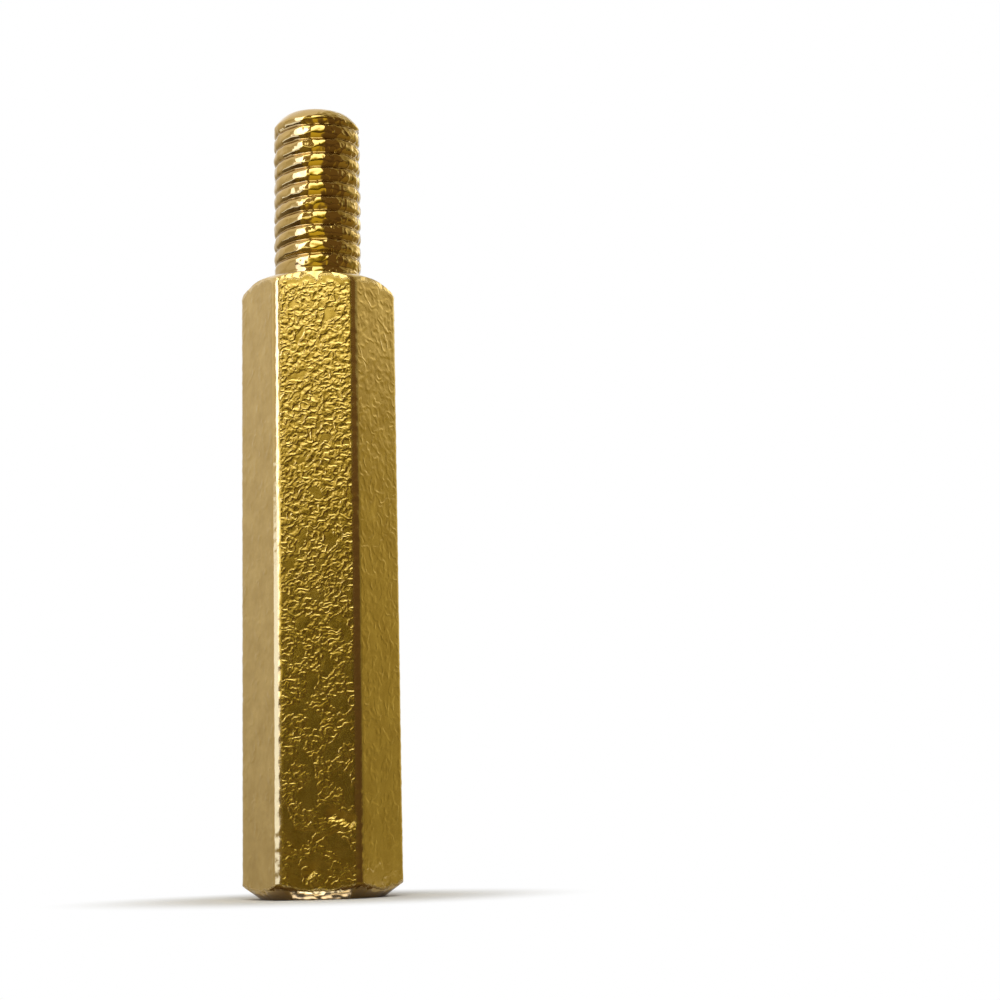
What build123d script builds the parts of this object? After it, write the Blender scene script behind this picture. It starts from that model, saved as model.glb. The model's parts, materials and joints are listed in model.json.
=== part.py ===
from build123d import *
import math
import os

# Male and female hexagon standoff, turned in one piece from drawn brass hexagon bar.
# It stands on its tapped end: Z is the axis, the tapped end face lies at zero, and a flat faces -Y.
# Lengths are in millimetres and angles in degrees.

# Hexagon body. Each inset is how far a flat end face stands in from the flats of the bar.
BODY_LENGTH = 20.0
ACROSS_FLATS = 4.5
CORNER_RADIUS = 0.3
TAPPED_END_INSET = 0.3
SHOULDER_INSET = 0.05
END_CHAMFER_ANGLE = 35.0

# Stud. Its diameter is over the crests of the thread, which is left plain here.
STUD_LENGTH = 6.0
STUD_DIAMETER = 2.95
TIP_INSET = 0.43
TIP_CHAMFER_ANGLE = 45.0

# Tapped hole. Its diameter is inside the crests of the thread, which is left plain here.
HOLE_DIAMETER = 2.5
HOLE_DEPTH = 10.0
DRILL_POINT_ANGLE = 118.0
MOUTH_FLARE = 0.35
MOUTH_ANGLE = 90.0

# How far a cutting shape runs past the face that it opens.
CUT_OVERRUN = 0.5

HEXAGON_SIDES = 6


def rise(run, angle):
    """Height that a slope gains over a level run."""
    return run * math.tan(math.radians(angle))


def turned(outline):
    """Solid of revolution about Z, from points of radius and height."""
    return revolve(make_face(Plane.XZ * Polyline(*outline, close=True)), Axis.Z)


def hexagon_bar(length):
    """Drawn bar with rounded corners, one of them on +X."""
    section = RegularPolygon(ACROSS_FLATS / 2, HEXAGON_SIDES, major_radius=False)
    return extrude(fillet(section.vertices(), CORNER_RADIUS), length)


def lathe_form():
    """All that the lathe leaves of a round blank: chamfered ends, shoulder and stud."""
    blank_radius = ACROSS_FLATS / 2 / math.cos(math.pi / HEXAGON_SIDES)
    tapped_end_radius = ACROSS_FLATS / 2 - TAPPED_END_INSET
    shoulder_radius = ACROSS_FLATS / 2 - SHOULDER_INSET
    stud_radius = STUD_DIAMETER / 2
    top = BODY_LENGTH + STUD_LENGTH
    return turned([
        (0, 0),
        (tapped_end_radius, 0),
        (blank_radius, rise(blank_radius - tapped_end_radius, END_CHAMFER_ANGLE)),
        (blank_radius, BODY_LENGTH - rise(blank_radius - shoulder_radius, END_CHAMFER_ANGLE)),
        (shoulder_radius, BODY_LENGTH),
        (stud_radius, BODY_LENGTH),
        (stud_radius, top - rise(TIP_INSET, TIP_CHAMFER_ANGLE)),
        (stud_radius - TIP_INSET, top),
        (0, top),
    ])


def tapped_hole():
    """Blind drilled hole with a countersunk mouth and the cone of the drill's point."""
    hole_radius = HOLE_DIAMETER / 2
    mouth_slope = 90 - MOUTH_ANGLE / 2
    point_slope = 90 - DRILL_POINT_ANGLE / 2
    mouth_depth = rise(MOUTH_FLARE, mouth_slope)
    overrun_radius = hole_radius + MOUTH_FLARE * (mouth_depth + CUT_OVERRUN) / mouth_depth
    return turned([
        (0, -CUT_OVERRUN),
        (overrun_radius, -CUT_OVERRUN),
        (hole_radius, mouth_depth),
        (hole_radius, HOLE_DEPTH),
        (0, HOLE_DEPTH + rise(hole_radius, point_slope)),
    ])


standoff = (hexagon_bar(BODY_LENGTH + STUD_LENGTH) & lathe_form()) - tapped_hole()
standoff.label = "standoff"

os.makedirs("parts", exist_ok=True)
export_step(standoff, "parts/standoff.step")
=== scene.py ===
import json
import math
from collections import namedtuple

import bpy
import numpy as np
from mathutils import Matrix, Vector


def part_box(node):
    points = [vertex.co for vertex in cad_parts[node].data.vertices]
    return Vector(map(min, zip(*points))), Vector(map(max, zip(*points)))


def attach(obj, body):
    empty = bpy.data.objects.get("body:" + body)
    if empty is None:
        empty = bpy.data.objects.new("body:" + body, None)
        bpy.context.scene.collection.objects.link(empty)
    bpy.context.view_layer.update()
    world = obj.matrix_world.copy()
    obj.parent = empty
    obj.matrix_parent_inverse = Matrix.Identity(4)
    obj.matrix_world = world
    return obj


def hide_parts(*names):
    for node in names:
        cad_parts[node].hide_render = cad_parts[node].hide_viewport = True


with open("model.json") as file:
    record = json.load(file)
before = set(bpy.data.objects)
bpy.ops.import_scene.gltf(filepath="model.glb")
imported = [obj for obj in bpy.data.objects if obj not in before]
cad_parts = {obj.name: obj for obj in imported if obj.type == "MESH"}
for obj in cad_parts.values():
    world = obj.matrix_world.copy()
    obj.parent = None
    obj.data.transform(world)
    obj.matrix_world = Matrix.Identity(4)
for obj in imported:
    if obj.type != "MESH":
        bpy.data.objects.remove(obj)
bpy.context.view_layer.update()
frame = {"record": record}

# Hexagon standoff of drawn and turned brass, standing on its tapped end.
# The mesh is worked out in millimetres and scaled to metres at the end.
MM = 0.001
FULL_TURN = 2 * math.pi
rng = np.random.default_rng(31)

# Sizes that the frame gives.
mounts = {mount["name"]: mount for mount in frame["record"]["mounts"]}
cad_low, cad_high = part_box("standoff")
ACROSS_FLATS = (cad_high.y - cad_low.y) / MM
TIP_HEIGHT = cad_high.z / MM
SHOULDER_HEIGHT = mounts["shoulder"]["pos_m"][2] / MM
STUD_RADIUS = mounts["stud"]["dims"]["r_mm"]
HOLE_RADIUS = mounts["tapped_hole"]["dims"]["r_mm"]

# Sizes that repeat the solid's own.
CORNER_RADIUS = 0.3
FOOT_RADIUS = ACROSS_FLATS / 2 - 0.3
SHOULDER_RADIUS = ACROSS_FLATS / 2 - 0.05
END_CHAMFER_SLOPE = math.tan(math.radians(35))
TIP_CHAMFER = 0.43
TIP_RADIUS = STUD_RADIUS - TIP_CHAMFER
MOUTH_RADIUS = HOLE_RADIUS + 0.35
HOLE_DEPTH = 10.0
DRILL_POINT_RISE = HOLE_RADIUS * math.tan(math.radians(31))

# M3 coarse thread. The stud's is worn shallow. The bend makes crests broader and roots narrower.
PITCH = 0.5
STUD_GROOVE = 0.105
STUD_BEND = 3.0
HOLE_GROOVE = 0.26
HOLE_BEND = 1.6
HOLE_THREAD_END = 8.0
HOLE_RUN_OUT = 1.0
PLAIN_WALL = 0.2
CREST_INSET = 0.02
TEAR_DEPTH = 0.008

# Root of the stud, where the thread fades out, and its rounded tip with a slightly dished face.
NECK_RISE = 0.1
NECK_CURVE = 0.03
NECK_INSET = 0.03
RUN_OUT_START = 0.12
RUN_OUT = 0.75
TIP_ROUNDNESS = 0.62
TIP_SMOOTH = 0.2
TIP_RIM = 0.06
TIP_DISH_MIDDLE = 0.01
TIP_DISH_CENTRE = 0.012

# Worn edges of the hexagon's ends: how far each is worn to one side, and how unevenly.
FINE_EDGE = 0.025
TOP_EDGE_IN = (0.04, 0.3)
TOP_EDGE_DOWN = (0.1, 0.35)
FOOT_EDGE_UP = (0.03, 1.2)
FOOT_EDGE_IN = (0.08, 0.6)
FACET_SHARES = (0.0, 0.07, 0.35, 0.65, 0.93, 1.0)
FARTHEST_SHARE = 0.8
LEAST_WEAR = 0.35
MOST_WEAR = 2.2
SHOULDER_FACE = 0.3
MOUTH_LIP = 0.04

# Dents of the flats and unevenness of the corners, which stay a hair inside the solid's. The dents come in
# patches, which close up towards the shoulder and leave a smooth strip under its edge.
HAIR = 0.001
DENT_DEPTH = 0.004
DENT_SIZE = 0.13
DENT_STRETCH = 1.3
DENT_LEAN = math.radians(50)
CALM_DENTS = 0.25
PATCH_SIZE = 0.55
PATCH_FADE = 0.45
PATCHES_AT_FOOT = -0.05
PATCHES_GAINED = 2.2
STRIP_START = 0.05
STRIP_FADE = 0.35
CORNER_WOBBLE = 0.006

# Flats are counted from 0, and flat 4 faces the camera. Each is crumpled by its own share. The pattern of the
# others is drawn coarser, and the lay of each flat lies well apart from the next.
SIDES = 6
FRONT = 4
CRUMPLED = [0.7, 0.7, 0.7, 0.35, 1.0, 0.9]
OTHER_FINENESS = 0.55
LAY_APART = 10.0

# Nick in the shoulder's edge and single dents, on the front flat. Each dent is given by its place along and
# up the flat, half length, half width, lean and depth.
NICK_ALONG = 0.08
NICK_HALF_WIDTH = 0.19
NICK_DEPTH = 0.27
FRONT_MARKS = [
    (0.95, 19.36, 0.09, 0.08, 0.0, 0.025),
    (0.42, 2.54, 0.14, 0.1, -0.35, 0.05),
    (0.72, 2.44, 0.15, 0.11, -0.3, 0.06),
    (1.0, 2.33, 0.12, 0.11, 0.2, 0.06),
    (-0.1, 15.83, 0.16, 0.05, 0.1, 0.015),
    (-0.28, 0.8, 0.22, 0.08, 0.75, 0.04),
]

# How finely each form is divided. The steps are shares of one turn of a thread.
FLAT_STEPS = 34
CORNER_STEPS = 6
BODY_ROWS = 270
STUD_COLUMNS = 120
STUD_STEPS = [0.0, 0.03, 0.09, 0.16, 0.23, 0.31, 0.4, 0.5, 0.6, 0.69, 0.77, 0.84, 0.91, 0.97]
HOLE_COLUMNS = 56
HOLE_STEPS = [0.0, 0.12, 0.25, 0.37, 0.44, 0.56, 0.63, 0.75, 0.88]
LEAST_ROW = 0.004

# Zones of the surface, in the order of the material slots.
DRAWN, BURNISHED, TURNED, CUT = range(4)


class Skin:
    """One closed surface, built up ring by ring from the tip, down the outside and up the hole."""

    def __init__(self):
        self.points = []
        self.lay = []
        self.crinkle = []
        self.hollow = []
        self.faces = []
        self.zones = []

    def add_points(self, points, lay=None, crinkle=None, hollow=None):
        """Adds points and returns their numbers.

        Their lay is where they sit on their own flat, crinkle how rough the flat is there, and hollow how
        deep they lie in a thread's groove.
        """
        start = len(self.points)
        nothing = np.zeros(len(points))
        self.points.extend(tuple(point) for point in points)
        self.lay.extend(tuple(place) for place in (points if lay is None else lay))
        self.crinkle.extend(nothing if crinkle is None else crinkle)
        self.hollow.extend(nothing if hollow is None else hollow)
        return list(range(start, len(self.points)))

    def ring(self, radius, height, angles):
        """A ring of points about the axis."""
        radius = np.broadcast_to(radius, angles.shape)
        height = np.broadcast_to(height, angles.shape)
        return self.add_points(np.column_stack([radius * np.cos(angles), radius * np.sin(angles), height]))

    def face(self, corners, zone):
        """Adds a face, less any corner that repeats the one before it."""
        kept = [c for k, c in enumerate(corners) if c != corners[k - 1]]
        if len(set(kept)) >= 3:
            self.faces.append(kept)
            self.zones.append(zone)

    def band(self, first, second, zones):
        """Joins two rings that have as many points each."""
        count = len(first)
        for i in range(count):
            k = (i + 1) % count
            zone = zones if isinstance(zones, int) else zones[i]
            self.face((second[i], second[k], first[k], first[i]), zone)

    def stitch(self, first, second, first_angles, second_angles, zone):
        """Joins two rings with different numbers of points, walking round both in step."""
        first_ends = list(first_angles[1:]) + [first_angles[0] + FULL_TURN]
        second_ends = list(second_angles[1:]) + [second_angles[0] + FULL_TURN]
        i = 0
        j = 0
        while i < len(first) or j < len(second):
            here_first = first[i % len(first)]
            here_second = second[j % len(second)]
            if j == len(second) or (i < len(first) and first_ends[i] <= second_ends[j]):
                self.face((here_second, first[(i + 1) % len(first)], here_first), zone)
                i += 1
            else:
                self.face((here_second, second[(j + 1) % len(second)], here_first), zone)
                j += 1

    def point_cap(self, ring, point, zone, below=False):
        """Closes a ring with a fan to one point on the axis."""
        centre = self.add_points([point])[0]
        count = len(ring)
        for i in range(count):
            k = (i + 1) % count
            self.face((ring[k], ring[i], centre) if below else (ring[i], ring[k], centre), zone)

    def helix(self, low_ring, high_ring, low, high, angles, steps, radius_at, zone, inward=False):
        """A wall whose rows climb one pitch a turn, cut off level at a ring below and a ring above."""
        columns = len(angles)
        spare_turns = 3
        turns = int(math.ceil((high - low) / PITCH)) + spare_turns
        rows = (np.arange(turns)[:, None] + np.asarray(steps)[None, :]).ravel()
        per_turn = len(steps)
        number = np.empty((columns, len(rows)), dtype=int)
        for i, angle in enumerate(angles):
            heights = low - PITCH + PITCH * (rows + angle / FULL_TURN)
            inside = (heights > low + LEAST_ROW) & (heights < high - LEAST_ROW)
            number[i, heights <= low + LEAST_ROW] = low_ring[i]
            number[i, heights >= high - LEAST_ROW] = high_ring[i]
            turn = np.full(inside.sum(), angle)
            radius, hollow = radius_at(turn, heights[inside])
            number[i, inside] = self.add_points(np.column_stack(
                [radius * np.cos(turn), radius * np.sin(turn), heights[inside]]), hollow=hollow)
        for i in range(columns):
            last = i == columns - 1
            for j in range(len(rows) - 1 - per_turn):
                k = j + per_turn if last else j
                n = 0 if last else i + 1
                corners = (number[i, j], number[n, k], number[n, k + 1], number[i, j + 1])
                self.face(corners[::-1] if inward else corners, zone)


def smooth_step(x):
    """Rises smoothly from 0 to 1 as x does."""
    x = np.clip(x, 0, 1)
    return x * x * (3 - 2 * x)


def uneven(count, shortest, longest):
    """Seeded waves in all directions, for the unevenness that a worn cutting edge leaves."""
    length = np.exp(rng.uniform(math.log(shortest), math.log(longest), count))
    way = rng.normal(size=(count, 3))
    way *= (FULL_TURN / length / np.linalg.norm(way, axis=1))[:, None]
    start = rng.uniform(0, FULL_TURN, count)

    def at(points):
        return np.sin(points @ way.T + start).sum(axis=1) / math.sqrt(count / 2)
    return at


def sunk(waves):
    """Waves with a spread of 1, bounded and lifted to depths between 0 and 2."""
    return 1 + 0.5 * np.clip(waves, -2, 2)


thread_tears = uneven(40, 0.25, 0.6)
corner_wobble = uneven(60, 0.16, 0.5)


def groove(angle, height, bend):
    """Depth of a right-handed thread's groove, 0 on the crest to 1 at the root, falling off as a power."""
    phase = (height / PITCH - angle / FULL_TURN) % 1.0
    return np.abs(2 * phase - 1) ** bend


def stud_radius(angle, height):
    """Radius of the stud: cut thread, fading out above the shoulder, under the rounded tip."""
    run_out = smooth_step((height - SHOULDER_HEIGHT - RUN_OUT_START) / RUN_OUT)
    crest = STUD_RADIUS - CREST_INSET - NECK_INSET * (1 - run_out)
    hollow = run_out * groove(angle, height, STUD_BEND)
    torn = thread_tears(np.column_stack([crest * np.cos(angle), crest * np.sin(angle), height]))
    below = np.clip((TIP_HEIGHT - height) / TIP_CHAMFER, 0, 1)
    dome = TIP_RADIUS + TIP_CHAMFER * below ** TIP_ROUNDNESS
    near_tip = smooth_step((TIP_HEIGHT - height) / TIP_SMOOTH)
    thread = crest - STUD_GROOVE * hollow + TEAR_DEPTH * np.clip(torn, -2, 2) * run_out * near_tip
    return np.minimum(thread, dome), hollow * (thread < dome)


def hole_radius(angle, height):
    """Radius of the tapped hole: countersunk mouth, thread, and the plain drilled end."""
    run_out = 1 - smooth_step((height - HOLE_THREAD_END + HOLE_RUN_OUT) / HOLE_RUN_OUT)
    hollow = run_out * groove(angle, height, HOLE_BEND)
    thread = HOLE_RADIUS + HOLE_GROOVE * hollow
    mouth = MOUTH_RADIUS - height
    return np.maximum(thread, mouth), hollow * (thread > mouth)


# Points round the drawn bar, the way out of each, its flat, how far along that flat it is, and whether it
# lies on the flat or on the corner after it.
Bar = namedtuple("Bar", "points outward sides along on_flat")


def hexagon_section():
    """Section of the drawn bar, with rounded corners."""
    inner = ACROSS_FLATS / 2 - CORNER_RADIUS
    half_flat = inner * math.tan(math.pi / SIDES)
    rows = []
    for side in range(SIDES):
        facing = math.radians(30 + 60 * side)
        out = np.array([math.cos(facing), math.sin(facing)])
        left = np.array([-out[1], out[0]])
        for s in np.linspace(-half_flat, half_flat, FLAT_STEPS + 1):
            rows.append((out * ACROSS_FLATS / 2 + left * s, out, side, s, True))
        corner = facing + math.pi / SIDES
        centre = np.array([math.cos(corner), math.sin(corner)]) * inner / math.cos(math.pi / SIDES)
        for turn in np.linspace(facing, facing + math.pi / 3, CORNER_STEPS + 1)[1:-1]:
            out = np.array([math.cos(turn), math.sin(turn)])
            along = half_flat + CORNER_RADIUS * (turn - facing)
            rows.append((centre + out * (CORNER_RADIUS - HAIR), out, side, along, False))
    return Bar(*(np.array(column) for column in zip(*rows)))


def dents(columns, rows, cell, size, stretch, lean):
    """A seeded field of dents about `size` across, drawn out along a lean, with a spread of 1."""
    across = np.fft.fftfreq(columns, cell)[:, None]
    up = np.fft.fftfreq(rows, cell)[None, :]
    along_lean = (across * math.cos(lean) + up * math.sin(lean)) * stretch
    over_lean = -across * math.sin(lean) + up * math.cos(lean)
    pitch = np.hypot(along_lean, over_lean) * 2 * size
    spread_of_sizes = 0.45
    field = np.fft.fft2(rng.normal(size=(columns, rows)))
    field = np.fft.ifft2(field * np.exp(-((pitch - 1) / spread_of_sizes) ** 2)).real
    return field / field.std()


def towards(corner, other, reach):
    """Points that lie a reach away from each corner, towards another point of the same outline."""
    away = other - corner
    length = np.linalg.norm(away, axis=1, keepdims=True)
    return corner + away / length * np.minimum(reach[:, None], FARTHEST_SHARE * length)


def eased(before, corner, after, reach):
    """Rings over a slightly rounded edge."""
    start = towards(corner, before, reach)
    end = towards(corner, after, reach)
    return [start, (start + 2 * corner + end) / 4, end]


def facet(before, corner, after, reach_in, reach_out):
    """Rings over a small worn facet, doubled at its borders so that they stay crisp."""
    start = towards(corner, before, reach_in)
    end = towards(corner, after, reach_out)
    return [start + (end - start) * share for share in FACET_SHARES]


def ragged(count, reach, spread):
    """How far an edge is worn at each column, uneven as a hand-fed bar leaves it."""
    rough = rng.normal(size=count)
    keeps_spread = 2.45
    soft = (np.roll(rough, 1) + 2 * rough + np.roll(rough, -1)) / keeps_spread
    return reach * np.clip(1 + spread * soft, LEAST_WEAR, MOST_WEAR)


def flat_relief(bar, heights):
    """How deep each point of the body is sunk, and how crinkled its flat is there.

    Drawing and pickling leave shallow dents, dense near the shoulder and in patches lower down.
    """
    cell = ACROSS_FLATS * math.tan(math.pi / SIDES) / FLAT_STEPS
    depth = np.zeros(heights.shape)
    crinkle = np.zeros(heights.shape)
    for side in range(SIDES):
        mine = np.flatnonzero(bar.on_flat & (bar.sides == side))
        shape = (len(mine), BODY_ROWS + 1)
        patches = dents(*shape, cell, PATCH_SIZE, 1.0, 0.0)
        dense = PATCHES_GAINED * heights[mine] / SHOULDER_HEIGHT + PATCHES_AT_FOOT
        strip = smooth_step((heights[mine, :1] - heights[mine] - STRIP_START) / STRIP_FADE)
        rough = smooth_step((patches + dense + PATCH_FADE) / (2 * PATCH_FADE))
        crinkle[mine] = CRUMPLED[side] * strip * rough
        field = dents(*shape, cell, DENT_SIZE, DENT_STRETCH, DENT_LEAN)
        depth[mine] = DENT_DEPTH * sunk(field) * (CALM_DENTS + (1 - CALM_DENTS) * crinkle[mine])
    wobble = corner_wobble(np.column_stack([
        np.repeat(bar.points, BODY_ROWS + 1, axis=0), heights.ravel()])).reshape(heights.shape)
    depth += CORNER_WOBBLE * sunk(wobble) * ~bar.on_flat[:, None]
    on_front = (bar.on_flat & (bar.sides == FRONT))[:, None]
    for mark_along, mark_height, half_length, half_width, lean, mark_depth in FRONT_MARKS:
        across = bar.along[:, None] - mark_along
        up = heights - mark_height
        lengthwise = (across * math.cos(lean) + up * math.sin(lean)) / half_length
        crosswise = (up * math.cos(lean) - across * math.sin(lean)) / half_width
        depth += mark_depth * np.exp(-lengthwise ** 2 - crosswise ** 2) * on_front
    row = np.arange(BODY_ROWS + 1)
    depth *= np.clip(np.minimum(row, BODY_ROWS - row) / 2, 0, 1)[None, :]
    return depth, crinkle


def add_stud(skin, angles):
    """Tip of the stud, its thread and the small radius at its root. Returns the ring on the shoulder."""
    tip_edge = skin.ring(TIP_RADIUS, TIP_HEIGHT, angles)
    tip_face = skin.ring(TIP_RADIUS - TIP_RIM, TIP_HEIGHT, angles)
    tip_middle = skin.ring(TIP_RADIUS / 2, TIP_HEIGHT - TIP_DISH_MIDDLE, angles)
    skin.point_cap(tip_middle, (0, 0, TIP_HEIGHT - TIP_DISH_CENTRE), TURNED)
    skin.band(tip_middle, tip_face, TURNED)
    skin.band(tip_face, tip_edge, TURNED)
    neck_height = SHOULDER_HEIGHT + NECK_RISE
    neck_radius = stud_radius(angles, np.full(len(angles), neck_height))[0]
    neck = skin.ring(neck_radius, neck_height, angles)
    skin.helix(neck, tip_edge, neck_height, TIP_HEIGHT, angles, STUD_STEPS, stud_radius, CUT)
    neck_curve = skin.ring(neck_radius + NECK_CURVE, SHOULDER_HEIGHT + NECK_CURVE, angles)
    neck_foot = skin.ring(neck_radius + NECK_RISE, SHOULDER_HEIGHT, angles)
    skin.band(neck, neck_curve, CUT)
    skin.band(neck_curve, neck_foot, TURNED)
    return neck_foot


def add_body(skin, neck_foot, stud_angles):
    """Shoulder, flats and foot of the hexagon. Returns the foot's inner ring and the angles of its points."""
    bar = hexagon_section()
    count = len(bar.points)
    reach = np.hypot(bar.points[:, 0], bar.points[:, 1])
    direction = bar.points / reach[:, None]
    bar_angles = np.unwrap(np.arctan2(bar.points[:, 1], bar.points[:, 0]))

    def outline(radius, height):
        return np.column_stack([np.broadcast_to(radius, reach.shape), np.broadcast_to(height, reach.shape)])

    def bar_ring(ring):
        return skin.add_points(np.column_stack([direction * ring[:, :1], ring[:, 1]]))

    def run_of_rings(last, rings, zones):
        for ring in rings:
            here = bar_ring(ring)
            skin.band(last, here, zones)
            last = here
        return last

    # Outline of each column of the hexagon, as radius and height, with its worn edges.
    shoulder_inside = outline(SHOULDER_RADIUS - SHOULDER_FACE, SHOULDER_HEIGHT)
    shoulder_edge = outline(SHOULDER_RADIUS, SHOULDER_HEIGHT)
    flat_top = outline(reach, SHOULDER_HEIGHT - (reach - SHOULDER_RADIUS) * END_CHAMFER_SLOPE)
    flat_foot = outline(reach, (reach - FOOT_RADIUS) * END_CHAMFER_SLOPE)
    foot_edge = outline(FOOT_RADIUS, 0.0)
    foot_inside = outline(MOUTH_RADIUS + MOUTH_LIP, 0.0)
    fine = np.full(count, FINE_EDGE)
    nick = NICK_DEPTH * np.clip(1 - np.abs(bar.along - NICK_ALONG) / NICK_HALF_WIDTH, 0, 1)
    nick *= (bar.sides == FRONT) * bar.on_flat
    top_in = ragged(count, *TOP_EDGE_IN)
    top_down = ragged(count, *TOP_EDGE_DOWN) + nick
    top_facet = facet(shoulder_edge, flat_top, flat_foot, top_in, top_down)
    foot_up = ragged(count, *FOOT_EDGE_UP)
    foot_in = ragged(count, *FOOT_EDGE_IN)
    foot_facet = facet(flat_top, flat_foot, foot_edge, foot_up, foot_in)

    last = bar_ring(shoulder_inside)
    skin.stitch(neck_foot, last, stud_angles, bar_angles, TURNED)
    last = run_of_rings(last, eased(shoulder_inside, shoulder_edge, flat_top, fine), TURNED)
    last = run_of_rings(last, top_facet, BURNISHED)

    top = top_facet[-1][:, 1]
    foot = foot_facet[0][:, 1]
    share = np.arange(BODY_ROWS + 1) / BODY_ROWS
    heights = top[:, None] + (foot - top)[:, None] * share[None, :]
    depth, crinkle = flat_relief(bar, heights)
    fineness = np.where(bar.sides == FRONT, 1.0, OTHER_FINENESS)
    drawn = np.where(bar.on_flat & np.roll(bar.on_flat, -1), DRAWN, BURNISHED)
    for row in range(1, BODY_ROWS):
        place = bar.points - bar.outward * depth[:, row, None]
        lay = np.column_stack([bar.along * fineness, heights[:, row] * fineness, bar.sides * LAY_APART])
        here = skin.add_points(np.column_stack([place, heights[:, row]]), lay, crinkle[:, row])
        skin.band(last, here, drawn)
        last = here

    last = run_of_rings(last, foot_facet[:1], drawn)
    last = run_of_rings(last, foot_facet[1:], BURNISHED)
    last = run_of_rings(last, eased(flat_foot, foot_edge, foot_inside, fine) + [foot_inside], TURNED)
    return last, bar_angles


def add_hole(skin, foot_ring, foot_angles):
    """Mouth, thread and drilled end of the hole."""
    angles = np.arange(HOLE_COLUMNS) * FULL_TURN / HOLE_COLUMNS
    mouth = skin.ring(MOUTH_RADIUS, 0.0, angles)
    skin.stitch(foot_ring, mouth, foot_angles, angles, TURNED)
    wall_end = HOLE_THREAD_END + PLAIN_WALL
    drilled = skin.ring(HOLE_RADIUS, wall_end, angles)
    skin.helix(mouth, drilled, 0.0, wall_end, angles, HOLE_STEPS, hole_radius, CUT, inward=True)
    bottom = skin.ring(HOLE_RADIUS, HOLE_DEPTH, angles)
    skin.band(drilled, bottom, TURNED)
    skin.point_cap(bottom, (0, 0, HOLE_DEPTH + DRILL_POINT_RISE), TURNED, below=True)


def build_standoff():
    """The whole outer and inner surface of the standoff."""
    skin = Skin()
    stud_angles = np.arange(STUD_COLUMNS) * FULL_TURN / STUD_COLUMNS
    neck_foot = add_stud(skin, stud_angles)
    foot_ring, foot_angles = add_body(skin, neck_foot, stud_angles)
    add_hole(skin, foot_ring, foot_angles)
    return skin


def mesh_object(name, skin, materials):
    """A Blender object from a skin, in metres, with its zones as material slots."""
    mesh = bpy.data.meshes.new(name)
    mesh.from_pydata((np.array(skin.points) * MM).tolist(), [], skin.faces)
    for material in materials:
        mesh.materials.append(material)
    mesh.polygons.foreach_set("material_index", np.array(skin.zones, dtype=np.int32))
    mesh.polygons.foreach_set("use_smooth", np.ones(len(skin.faces), dtype=bool))
    lay = mesh.attributes.new("lay", "FLOAT_VECTOR", "POINT")
    lay.data.foreach_set("vector", np.array(skin.lay, dtype=np.float32).ravel())
    for layer_name, values in (("crinkle", skin.crinkle), ("hollow", skin.hollow)):
        layer = mesh.attributes.new(layer_name, "FLOAT", "POINT")
        layer.data.foreach_set("value", np.array(values, dtype=np.float32))
    mesh.update()
    piece = bpy.data.objects.new(name, mesh)
    bpy.context.scene.collection.objects.link(piece)
    return piece


def linear(colour):
    """Linear colour of an sRGB hex value."""
    parts = [int(colour[k:k + 2], 16) / 255 for k in (1, 3, 5)]
    return [c / 12.92 if c <= 0.04045 else ((c + 0.055) / 1.055) ** 2.4 for c in parts] + [1.0]


def add(material, kind, settings=None, inputs=None):
    """Adds a node with its settings, and sets or links its inputs."""
    node = material.node_tree.nodes.new(kind)
    for name, value in (settings or {}).items():
        setattr(node, name, value)
    for name, value in (inputs or {}).items():
        if isinstance(value, bpy.types.NodeSocket):
            material.node_tree.links.new(value, node.inputs[name])
        else:
            node.inputs[name].default_value = value
    return node


def new_material(name):
    """A material with no nodes yet."""
    material = bpy.data.materials.new(name)
    material.use_nodes = True
    material.node_tree.nodes.clear()
    return material


def finish_brass(material, colour, roughness, normal):
    """Bare brass, a metal with the default IOR."""
    shader = add(material, "ShaderNodeBsdfPrincipled", None, {
        "Base Color": colour, "Metallic": 1.0, "Roughness": roughness, "Normal": normal})
    add(material, "ShaderNodeOutputMaterial", None, {"Surface": shader.outputs["BSDF"]})
    return material


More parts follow.
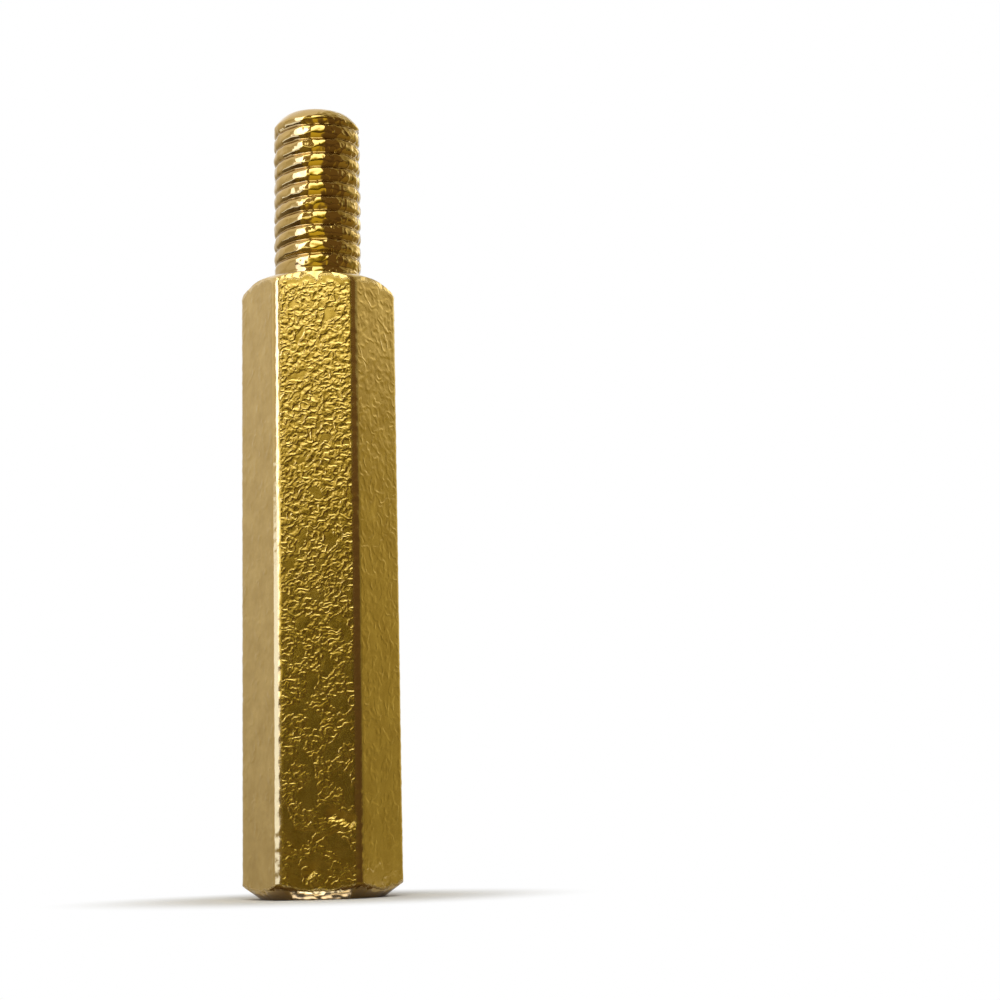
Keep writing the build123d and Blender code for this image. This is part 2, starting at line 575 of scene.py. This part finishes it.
def drawn_brass():
    """Cold-drawn hexagon bar, wrinkled by pickling, so that the light breaks up into curly flecks.

    The lay is in millimetres, and the creases are about as large as real ones.
    """
    crease_long = 0.22
    crease_wide = 0.18
    crease_lean = math.radians(-50)
    crease_height = 0.0078
    swirl_size = 0.2
    swirl_stray = 0.25
    break_size = 0.16
    pebble_size = 0.16
    pebbles_start = 11.0
    pebbles_full = 18.0
    grain_size = 0.35
    mottle_size = 0.5
    material = new_material("brass_drawn")
    lay = add(material, "ShaderNodeAttribute", {"attribute_name": "lay"}).outputs["Vector"]
    crinkle = add(material, "ShaderNodeAttribute", {"attribute_name": "crinkle"}).outputs["Fac"]

    # Curly creases: thin ridges along the level lines of a noise that is drawn out along a lean.
    swirl = add(material, "ShaderNodeTexNoise", None, {
        "Vector": lay, "Scale": 1 / swirl_size, "Detail": 1.0})
    strayed = add(material, "ShaderNodeVectorMath", {"operation": "MULTIPLY_ADD"}, {
        0: swirl.outputs["Color"], 1: (swirl_stray, swirl_stray, 0.0), 2: lay})
    leaning = add(material, "ShaderNodeMapping", {"vector_type": "POINT"}, {
        "Vector": strayed.outputs["Vector"], "Rotation": (0, 0, crease_lean),
        "Scale": (1 / crease_long, 1 / crease_wide, 1.0)})
    creases = add(material, "ShaderNodeTexNoise", None, {
        "Vector": leaning.outputs["Vector"], "Scale": 1.0, "Detail": 0.0})
    offset = add(material, "ShaderNodeMath", {"operation": "SUBTRACT"}, {
        0: creases.outputs["Fac"], 1: 0.5})
    away = add(material, "ShaderNodeMath", {"operation": "ABSOLUTE"}, {0: offset.outputs["Value"]})
    ridges = add(material, "ShaderNodeMapRange", {"interpolation_type": "SMOOTHSTEP"}, {
        "Value": away.outputs["Value"], "From Min": 0.24, "From Max": 0.0})

    # They break off here and there, and are missing where the flat is calm.
    breaks = add(material, "ShaderNodeTexNoise", None, {
        "Vector": lay, "Scale": 1 / break_size, "Detail": 0.0})
    worn = add(material, "ShaderNodeMath", {"operation": "MULTIPLY_ADD"}, {
        0: crinkle, 1: 0.55, 2: breaks.outputs["Fac"]})
    present = add(material, "ShaderNodeMapRange", {"interpolation_type": "SMOOTHSTEP"}, {
        "Value": worn.outputs["Value"], "From Min": 0.64, "From Max": 1.02})
    strength = add(material, "ShaderNodeMath", {"operation": "MULTIPLY"}, {
        0: ridges.outputs["Result"], 1: present.outputs["Result"]})

    # Pebbles near the shoulder and a soft grain all over.
    grain = add(material, "ShaderNodeTexNoise", None, {
        "Vector": lay, "Scale": 1 / grain_size, "Detail": 1.0, "Roughness": 0.4})
    place = add(material, "ShaderNodeSeparateXYZ", None, {0: lay})
    upper = add(material, "ShaderNodeMapRange", None, {
        "Value": place.outputs["Y"], "From Min": pebbles_start, "From Max": pebbles_full,
        "To Min": 0.0, "To Max": 1.1})
    among = add(material, "ShaderNodeMath", {"operation": "MULTIPLY"}, {
        0: upper.outputs["Result"], 1: crinkle})
    pebbles = add(material, "ShaderNodeTexNoise", None, {
        "Vector": lay, "Scale": 1 / pebble_size, "Detail": 0.0})
    pebbled = add(material, "ShaderNodeMath", {"operation": "MULTIPLY_ADD"}, {
        0: pebbles.outputs["Fac"], 1: among.outputs["Value"], 2: strength.outputs["Value"]})
    height = add(material, "ShaderNodeMath", {"operation": "MULTIPLY_ADD"}, {
        0: grain.outputs["Fac"], 1: 0.45, 2: pebbled.outputs["Value"]})
    bump = add(material, "ShaderNodeBump", None, {
        "Height": height.outputs["Value"], "Strength": 1.0, "Distance": crease_height * MM})

    patches = add(material, "ShaderNodeTexNoise", None, {
        "Vector": lay, "Scale": 1 / mottle_size, "Detail": 3.0, "Roughness": 0.65})
    mottle = add(material, "ShaderNodeMapRange", None, {
        "Value": patches.outputs["Fac"], "From Min": 0.3, "From Max": 0.7})
    tint = add(material, "ShaderNodeMix", {"data_type": "RGBA"}, {
        "Factor": mottle.outputs["Result"], "A": linear("#A98A47"), "B": linear("#BC9E5C")})
    return finish_brass(material, tint.outputs["Result"], roughness=0.2, normal=bump.outputs["Normal"])


def burnished_brass():
    """Corners and edges of the bar, rubbed by the drawing die and by handling to a soft, uneven shine."""
    grain_size = 0.25
    grain_height = 0.006
    material = new_material("brass_burnished")
    coordinates = add(material, "ShaderNodeTexCoord")
    grain = add(material, "ShaderNodeTexNoise", None, {
        "Vector": coordinates.outputs["Object"], "Scale": 1 / (grain_size * MM), "Detail": 2.0})
    bump = add(material, "ShaderNodeBump", None, {
        "Height": grain.outputs["Fac"], "Strength": 1.0, "Distance": grain_height * MM})
    return finish_brass(material, linear("#BFA266"), roughness=0.18, normal=bump.outputs["Normal"])


def turned_brass_painted_shade():
    """Faces from the lathe: fine rings about the axis, in a tint darker than the bar that is painted shade,
    mottled at random.

    The rings are drawn at 0.08 mm, coarser than the feed of a real tool, so that they show.
    """
    ring_width = 0.08
    ring_height = 0.004
    stain_size = 0.6
    material = new_material("brass_turned_painted_shade")
    coordinates = add(material, "ShaderNodeTexCoord")
    level = add(material, "ShaderNodeVectorMath", {"operation": "MULTIPLY"}, {
        0: coordinates.outputs["Object"], 1: (1.0, 1.0, 0.0)})
    radius = add(material, "ShaderNodeVectorMath", {"operation": "LENGTH"}, {0: level.outputs["Vector"]})
    rings = add(material, "ShaderNodeTexNoise", {"noise_dimensions": "1D"}, {
        "W": radius.outputs["Value"], "Scale": 1 / (ring_width * MM), "Detail": 2.0})
    bump = add(material, "ShaderNodeBump", None, {
        "Height": rings.outputs["Fac"], "Strength": 1.0, "Distance": ring_height * MM})
    stains = add(material, "ShaderNodeTexNoise", None, {
        "Vector": coordinates.outputs["Object"], "Scale": 1 / (stain_size * MM), "Detail": 3.0})
    # The tint is darker than the bar's. It paints shade on all turned faces, meant for the chamfers at the
    # ends where the contact shadow falls. The mix of its two tones varies at random.
    tint = add(material, "ShaderNodeMix", {"data_type": "RGBA"}, {
        "Factor": stains.outputs["Fac"], "A": linear("#7E6230"), "B": linear("#A4854A")})
    return finish_brass(material, tint.outputs["Result"], roughness=0.26, normal=bump.outputs["Normal"])


def cut_brass_painted_groove_shade():
    """Thread cut with a die: torn more on one side, with crests lighter and grooves darker, the darker
    grooves being painted shade.
    """
    tear_size = 0.26
    wave_size = 0.3
    relief = 0.004
    torn_start = 0.1
    torn_full = 0.75
    material = new_material("brass_cut_painted_groove_shade")
    coordinates = add(material, "ShaderNodeTexCoord")
    hollow = add(material, "ShaderNodeAttribute", {"attribute_name": "hollow"}).outputs["Fac"]
    tears = add(material, "ShaderNodeTexNoise", None, {
        "Vector": coordinates.outputs["Object"], "Scale": 1 / (tear_size * MM), "Detail": 0.0})
    offset = add(material, "ShaderNodeMath", {"operation": "SUBTRACT"}, {
        0: tears.outputs["Fac"], 1: 0.5})
    away = add(material, "ShaderNodeMath", {"operation": "ABSOLUTE"}, {0: offset.outputs["Value"]})
    ridges = add(material, "ShaderNodeMapRange", {"interpolation_type": "SMOOTHSTEP"}, {
        "Value": away.outputs["Value"], "From Min": 0.2, "From Max": 0.0})
    waves = add(material, "ShaderNodeTexNoise", None, {
        "Vector": coordinates.outputs["Object"], "Scale": 1 / (wave_size * MM), "Detail": 0.0})
    place = add(material, "ShaderNodeSeparateXYZ", None, {0: coordinates.outputs["Object"]})
    torn = add(material, "ShaderNodeMapRange", {"interpolation_type": "SMOOTHSTEP"}, {
        "Value": place.outputs["X"], "From Min": torn_start * MM, "From Max": torn_full * MM,
        "To Min": 0.5, "To Max": 3.4})
    rough = add(material, "ShaderNodeMath", {"operation": "MULTIPLY"}, {
        0: ridges.outputs["Result"], 1: torn.outputs["Result"]})
    height = add(material, "ShaderNodeMath", {"operation": "MULTIPLY_ADD"}, {
        0: waves.outputs["Fac"], 1: 3.0, 2: rough.outputs["Value"]})
    bump = add(material, "ShaderNodeBump", None, {
        "Height": height.outputs["Value"], "Strength": 1.0, "Distance": relief * MM})
    # The colour darkens with the depth in the groove: painted shade in the thread's hollows.
    tint = add(material, "ShaderNodeMix", {"data_type": "RGBA"}, {
        "Factor": hollow, "A": linear("#B4965A"), "B": linear("#8C6E3A")})
    return finish_brass(material, tint.outputs["Result"], roughness=0.1, normal=bump.outputs["Normal"])


standoff = mesh_object("standoff_brass", build_standoff(),
                       [drawn_brass(), burnished_brass(), turned_brass_painted_shade(), cut_brass_painted_groove_shade()])
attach(standoff, "root")
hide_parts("standoff")

# The stage: a white sheet underneath, cards that the metal mirrors, and soft lamps.
FLOOR_REACH = 1500.0
FLOOR_HEIGHT = -0.01
SHADOW_NEAR = 2.8
SHADOW_FAR = 9


def paper():
    """White paper, which turns to plain white away from the standoff, as a lit sweep does."""
    material = new_material("white_paper")
    coordinates = add(material, "ShaderNodeTexCoord")
    distance = add(material, "ShaderNodeVectorMath", {"operation": "LENGTH"}, {
        0: coordinates.outputs["Object"]})
    fade = add(material, "ShaderNodeMapRange", {"interpolation_type": "SMOOTHSTEP"}, {
        "Value": distance.outputs["Value"], "From Min": SHADOW_NEAR * MM, "From Max": SHADOW_FAR * MM})
    sheet = add(material, "ShaderNodeBsdfDiffuse", None, {"Color": linear("#F2F1EE")})
    white = add(material, "ShaderNodeEmission", None, {"Color": linear("#FFFFFF"), "Strength": 1.0})
    mixed = add(material, "ShaderNodeMixShader", None, {
        0: fade.outputs["Result"], 1: sheet.outputs["BSDF"], 2: white.outputs["Emission"]})
    add(material, "ShaderNodeOutputMaterial", None, {"Surface": mixed.outputs["Shader"]})
    return material


def stage_mesh(name, points, faces, material):
    """A mesh of the stage, from points in millimetres."""
    mesh = bpy.data.meshes.new(name)
    mesh.from_pydata([point * MM for point in points], [], faces)
    mesh.materials.append(material)
    panel = bpy.data.objects.new(name, mesh)
    bpy.context.scene.collection.objects.link(panel)
    return panel


floor_corners = [Vector((x * FLOOR_REACH, y * FLOOR_REACH, FLOOR_HEIGHT))
                 for x, y in ((-1, -1), (1, -1), (1, 1), (-1, 1))]
stage_mesh("floor", floor_corners, [(0, 1, 2, 3)], paper())


def card_glow(name):
    """Plain light from the front of a card, with the back left clear."""
    material = new_material(name)
    colour = add(material, "ShaderNodeAttribute", {"attribute_name": "shade"})
    glow = add(material, "ShaderNodeEmission", None, {"Color": colour.outputs["Color"], "Strength": 1.0})
    side = add(material, "ShaderNodeNewGeometry")
    clear = add(material, "ShaderNodeBsdfTransparent")
    mixed = add(material, "ShaderNodeMixShader", None, {
        0: side.outputs["Backfacing"], 1: glow.outputs["Emission"], 2: clear.outputs["BSDF"]})
    add(material, "ShaderNodeOutputMaterial", None, {"Surface": mixed.outputs["Shader"]})
    return material


# Cards face the middle of the stud. They are divided into rows and columns.
FACED = Vector((0, 0, 23))
WALL_DIVISIONS = (40, 40)
LEVEL_DIVISIONS = (24, 96)


def card(name, rows, columns, place, shade):
    """A card seen only in the metal and only from its front, with a colour for each of its points."""
    points = []
    shades = []
    for up in np.linspace(0, 1, rows + 1):
        for across in np.linspace(0, 1, columns + 1):
            points.append(Vector(place(across, up)))
            shades.append([*shade(across, up), 1.0])
    faces = [(i * (columns + 1) + j, i * (columns + 1) + j + 1,
              (i + 1) * (columns + 1) + j + 1, (i + 1) * (columns + 1) + j)
             for i in range(rows) for j in range(columns)]
    first = [points[k] for k in faces[0]]
    facing = (first[1] - first[0]).cross(first[2] - first[0])
    if facing.dot(FACED - first[0]) < 0:
        faces = [face[::-1] for face in faces]
    panel = stage_mesh(name, points, faces, card_glow(name))
    layer = panel.data.attributes.new("shade", "FLOAT_COLOR", "POINT")
    layer.data.foreach_set("color", np.array(shades, dtype=np.float32).ravel())
    panel.visible_camera = False
    panel.visible_diffuse = False
    panel.visible_shadow = False
    panel.visible_transmission = False


def spot(span, share):
    """The value that lies a share of the way along a span."""
    start, end = span
    return start + (end - start) * share


def wall_card(name, azimuths, elevations, shade, distance=200.0):
    """A card standing round the standoff, by azimuth from the front towards +X and by elevation."""
    def place(across, up):
        turn = math.radians(spot(azimuths, across))
        rise = distance * math.tan(math.radians(spot(elevations, up)))
        return distance * math.sin(turn), -distance * math.cos(turn), rise
    card(name, *WALL_DIVISIONS, place, shade)


def level_card(name, azimuths, distances, shade, height=0.002):
    """A card lying round the standoff on the floor, or hung level above it."""
    def place(across, up):
        turn = math.radians(spot(azimuths, across))
        away = spot(distances, up)
        return away * math.sin(turn), -away * math.cos(turn), height
    card(name, *LEVEL_DIVISIONS, place, shade)


def blend_of(near_left, near_right, far_left, far_right):
    """A shade that runs smoothly between the colours of a card's four corners."""
    def shade(across, up):
        low = near_left * (1 - across) + near_right * across
        high = far_left * (1 - across) + far_right * across
        return low * (1 - up) + high * up
    return shade


def even(colour):
    """One colour all over a card."""
    return blend_of(colour, colour, colour, colour)


# Light that the cards give, as linear red, green and blue, where 1 is the light of white paper.
DEEP = np.array([1.0, 0.84, 0.08])
YELLOW = np.array([1.0, 0.92, 0.16])
PALE = np.array([0.95, 1.03, 0.95])
BROWN = np.array([0.13, 0.098, 0.022])
NEAR_BROWN = np.array([0.36, 0.29, 0.08])
DARK_BROWN = np.array([0.19, 0.12, 0.055])
DARKEST = np.array([0.12, 0.077, 0.034])
STUD_SHADE = np.array([0.24, 0.16, 0.065])
TAN = np.array([0.1, 0.08, 0.03])
GAP = np.array([0.45, 0.34, 0.1])
GOLD = np.array([1.1, 0.93, 0.12])
MID_TAN = np.array([1.0, 0.88, 0.3])
PALE_TAN = np.array([1.0, 0.97, 0.72])
SOFT = np.array([1.8, 2.2, 3.8])
GREY = np.array([0.68, 0.65, 0.55])
WHITE = np.array([1.25, 1.25, 1.25])
GLINT = np.array([4.2, 4.6, 6.5])

# Azimuths, elevations and heights of cards that need them twice.
FRONT_AZIMUTHS = (-42, 42)
FRONT_ELEVATIONS = (-3, 62)
RIGHT_AZIMUTHS = (72, 155)
RIGHT_ELEVATIONS = (-3, 33)
BOUNCE_AZIMUTHS = (-40, 165)
BOUNCE_HEIGHT = SHOULDER_HEIGHT + 0.06
CEILING = 135.0


def front_shade(across, up):
    """Brown floor light below, lamp light above, which reaches lower on the left."""
    border = np.interp(spot(FRONT_AZIMUTHS, across),
                       (-42, -19, -3, 13, 17, 22, 42), (-13, -13, 0, 7, 12, 45, 50))
    level = np.interp(spot(FRONT_ELEVATIONS, up) - border, (-16, 0, 8, 13, 17, 19.5, 23, 30, 60),
                      (0.05, 0.078, 0.155, 0.295, 0.46, 0.88, 1.65, 3.3, 5.5))
    yellowness = np.interp(level, (0.3, 1.0), (0, 1))
    paleness = np.interp(level, (1.4, 2.6), (0, 1))
    return level * (DEEP + (YELLOW - DEEP) * yellowness + (PALE - YELLOW) * paleness)


def bounce_shade(across, up):
    """Light thrown up at the stud: gold in front, dark beside it and tan towards the back."""
    stops = ((-40, NEAR_BROWN), (-27, NEAR_BROWN), (-20, DARK_BROWN), (-13, GAP), (-8, GOLD), (13, GOLD),
             (18, GAP), (27, STUD_SHADE), (66, STUD_SHADE), (76, GAP), (110, GAP), (165, GREY))
    azimuths, shades = zip(*stops)
    azimuth = spot(BOUNCE_AZIMUTHS, across)
    return np.array([np.interp(azimuth, azimuths, channel) for channel in zip(*shades)])


def right_shade(across, up):
    """Tan light, paler from above and towards the back."""
    azimuth = spot(RIGHT_AZIMUTHS, across)
    elevation = spot(RIGHT_ELEVATIONS, up)
    level = np.interp(elevation, (-3, 10, 17, 22, 33), (0.46, 0.56, 0.58, 0.98, 1.7))
    level *= np.interp(azimuth, (72, 100, 112, 122, 134, 155), (0.42, 0.6, 0.9, 1.1, 1.6, 1.8))
    paleness = max(np.interp(level, (0.7, 1.6), (0, 1)), np.interp(elevation, (15, 21), (0, 0.8)))
    return level * (MID_TAN + (PALE_TAN - MID_TAN) * paleness)


glint_spots = uneven(40, 0.11, 0.28)


def glint_shade(across, up):
    """Spots of light on the floor close to the foot, fewer towards the sides."""
    bright = glint_spots(np.array([[across, 0.55 * up, 0.0]]))[0]
    sideways = max(0, abs(across - 0.5) - 0.3)
    return GLINT * np.clip(0.35 + 0.8 * bright - 3.0 * sideways, 0.05, 1.0)


# Cards round the standoff: azimuths, elevations, shade and distance.
wall_card("card_front", FRONT_AZIMUTHS, FRONT_ELEVATIONS, front_shade)
wall_card("card_gap", (-32, -13), (16, 70), even(GAP), 195.0)
wall_card("card_low_left", (-98, -40), (-3, 25), even(SOFT), 40.0)
wall_card("card_low_gap", (-42, -13), (-3, 7), even(DARKEST), 130.0)
wall_card("card_right_low", (9, 90), (-3, 17), blend_of(DARKEST, DARKEST, DARK_BROWN, DARK_BROWN), 195.0)
wall_card("card_right_high", (21, 72), (17, 60), even(STUD_SHADE), 195.0)
wall_card("card_back_right", RIGHT_AZIMUTHS, RIGHT_ELEVATIONS, right_shade, 205.0)
wall_card("card_back_left", (-165, -85), (-3, 40), blend_of(GREY, GREY, WHITE, WHITE))
wall_card("card_left_high", (-92, -61), (13, 60), even(GREY * 1.25))

# Cards on the floor, level with the shoulder and overhead: azimuths, distances, shade and height.
level_card("floor_front", (-40, 75), (5, 200), blend_of(NEAR_BROWN, DARKEST, BROWN, DARK_BROWN))
level_card("bounce_front", BOUNCE_AZIMUTHS, (2.75, 32), bounce_shade, BOUNCE_HEIGHT)
level_card("bounce_left", (-165, -40), (2.75, 12), blend_of(GREY * 0.9, DARKEST, GREY * 0.9, DARKEST),
           BOUNCE_HEIGHT)
level_card("floor_front_left", (-100, -40), (6, 34), even(NEAR_BROWN))
level_card("floor_right", (75, 155), (9, 200), blend_of(MID_TAN * 0.6, MID_TAN * 0.6, TAN, MID_TAN * 0.4))
level_card("floor_left", (-165, -100), (5, 200), even(GREY))
level_card("ceiling_front", (-42, 20), (0, 60), even(NEAR_BROWN), CEILING)
level_card("ceiling_front_right", (20, 72), (0, 60), even(DARKEST), CEILING)
level_card("ceiling_right", (72, 165), (0, 200), blend_of(NEAR_BROWN, PALE_TAN, NEAR_BROWN, PALE_TAN),
           CEILING)
level_card("ceiling_left", (165, 318), (0, 200), even(WHITE), CEILING)
level_card("floor_glint", (-25, 28), (1.97, 2.36), glint_shade)
# A dark ring on the floor close round the foot, seen only in the metal: painted contact shadow for the foot's
# edges to mirror.
level_card("floor_painted_contact_shadow", (-60, 75), (2.36, 5), blend_of(DARKEST, DARKEST, NEAR_BROWN, NEAR_BROWN))

BODY_MIDDLE = Vector((0, 0, 13))


def lamp(name, colour, radiance, azimuth, elevation, distance, width, height):
    """A soft box that looks at the middle of the standoff."""
    turn = math.radians(azimuth)
    tilt = math.radians(elevation)
    away = Vector((math.sin(turn) * math.cos(tilt), -math.cos(turn) * math.cos(tilt), math.sin(tilt)))
    light = bpy.data.lights.new(name, "AREA")
    light.shape = "RECTANGLE"
    light.size = width * MM
    light.size_y = height * MM
    light.color = colour
    light.energy = radiance * math.pi * width * height * MM * MM
    box = bpy.data.objects.new(name, light)
    box.location = (BODY_MIDDLE + away * distance) * MM
    box.rotation_euler = away.to_track_quat("Z", "Y").to_euler()
    box.visible_camera = False
    bpy.context.scene.collection.objects.link(box)
    return box


# The left lamp is only mirrored, and the front one only lights the paper.
soft_box = lamp("soft_box_left", (0.46, 0.56, 1.1), 5.0, azimuth=-44, elevation=20, distance=150,
                width=64, height=112)
soft_box.visible_diffuse = False
paper_lamp = lamp("lamp_front", (1.0, 0.97, 0.86), 3.5, azimuth=0, elevation=40, distance=180,
                  width=96, height=134)
paper_lamp.visible_glossy = False

# A room that looks white and lights the paper more softly than that.
ROOM_LIGHT = 0.45
world = bpy.data.worlds.new("white_room")
world.use_nodes = True
world.node_tree.nodes.clear()
path = add(world, "ShaderNodeLightPath")
seen = add(world, "ShaderNodeMath", {"operation": "ADD"}, {
    0: path.outputs["Is Camera Ray"], 1: path.outputs["Is Glossy Ray"]})
seen = add(world, "ShaderNodeMath", {"operation": "ADD", "use_clamp": True}, {
    0: seen.outputs["Value"], 1: path.outputs["Is Transmission Ray"]})
strength = add(world, "ShaderNodeMapRange", None, {
    "Value": seen.outputs["Value"], "To Min": ROOM_LIGHT, "To Max": 1.0})
room = add(world, "ShaderNodeBackground", None, {
    "Color": linear("#FFFFFF"), "Strength": strength.outputs["Result"]})
add(world, "ShaderNodeOutputWorld", None, {"Surface": room.outputs["Background"]})
bpy.context.scene.world = world

# Camera, low in front and looking up a little.
CAMERA_PLACE = Vector((3.13, -60.93, 1.81))
CAMERA_PAN = -2.64
CAMERA_TILT = 10.14
CAMERA_ROLL = -1.47
camera_data = bpy.data.cameras.new("camera")
camera_data.sensor_width = 36.0
camera_data.lens = 67.43
camera_data.clip_start = 1 * MM
camera = bpy.data.objects.new("camera", camera_data)
camera.matrix_world = (Matrix.Translation(CAMERA_PLACE * MM)
                       @ Matrix.Rotation(math.radians(CAMERA_PAN), 4, "Z")
                       @ Matrix.Rotation(math.radians(90 + CAMERA_TILT), 4, "X")
                       @ Matrix.Rotation(math.radians(CAMERA_ROLL), 4, "Z"))
bpy.context.scene.collection.objects.link(camera)
bpy.context.scene.camera = camera
bpy.context.scene.view_settings.view_transform = "Standard"

bpy.context.view_layer.update()
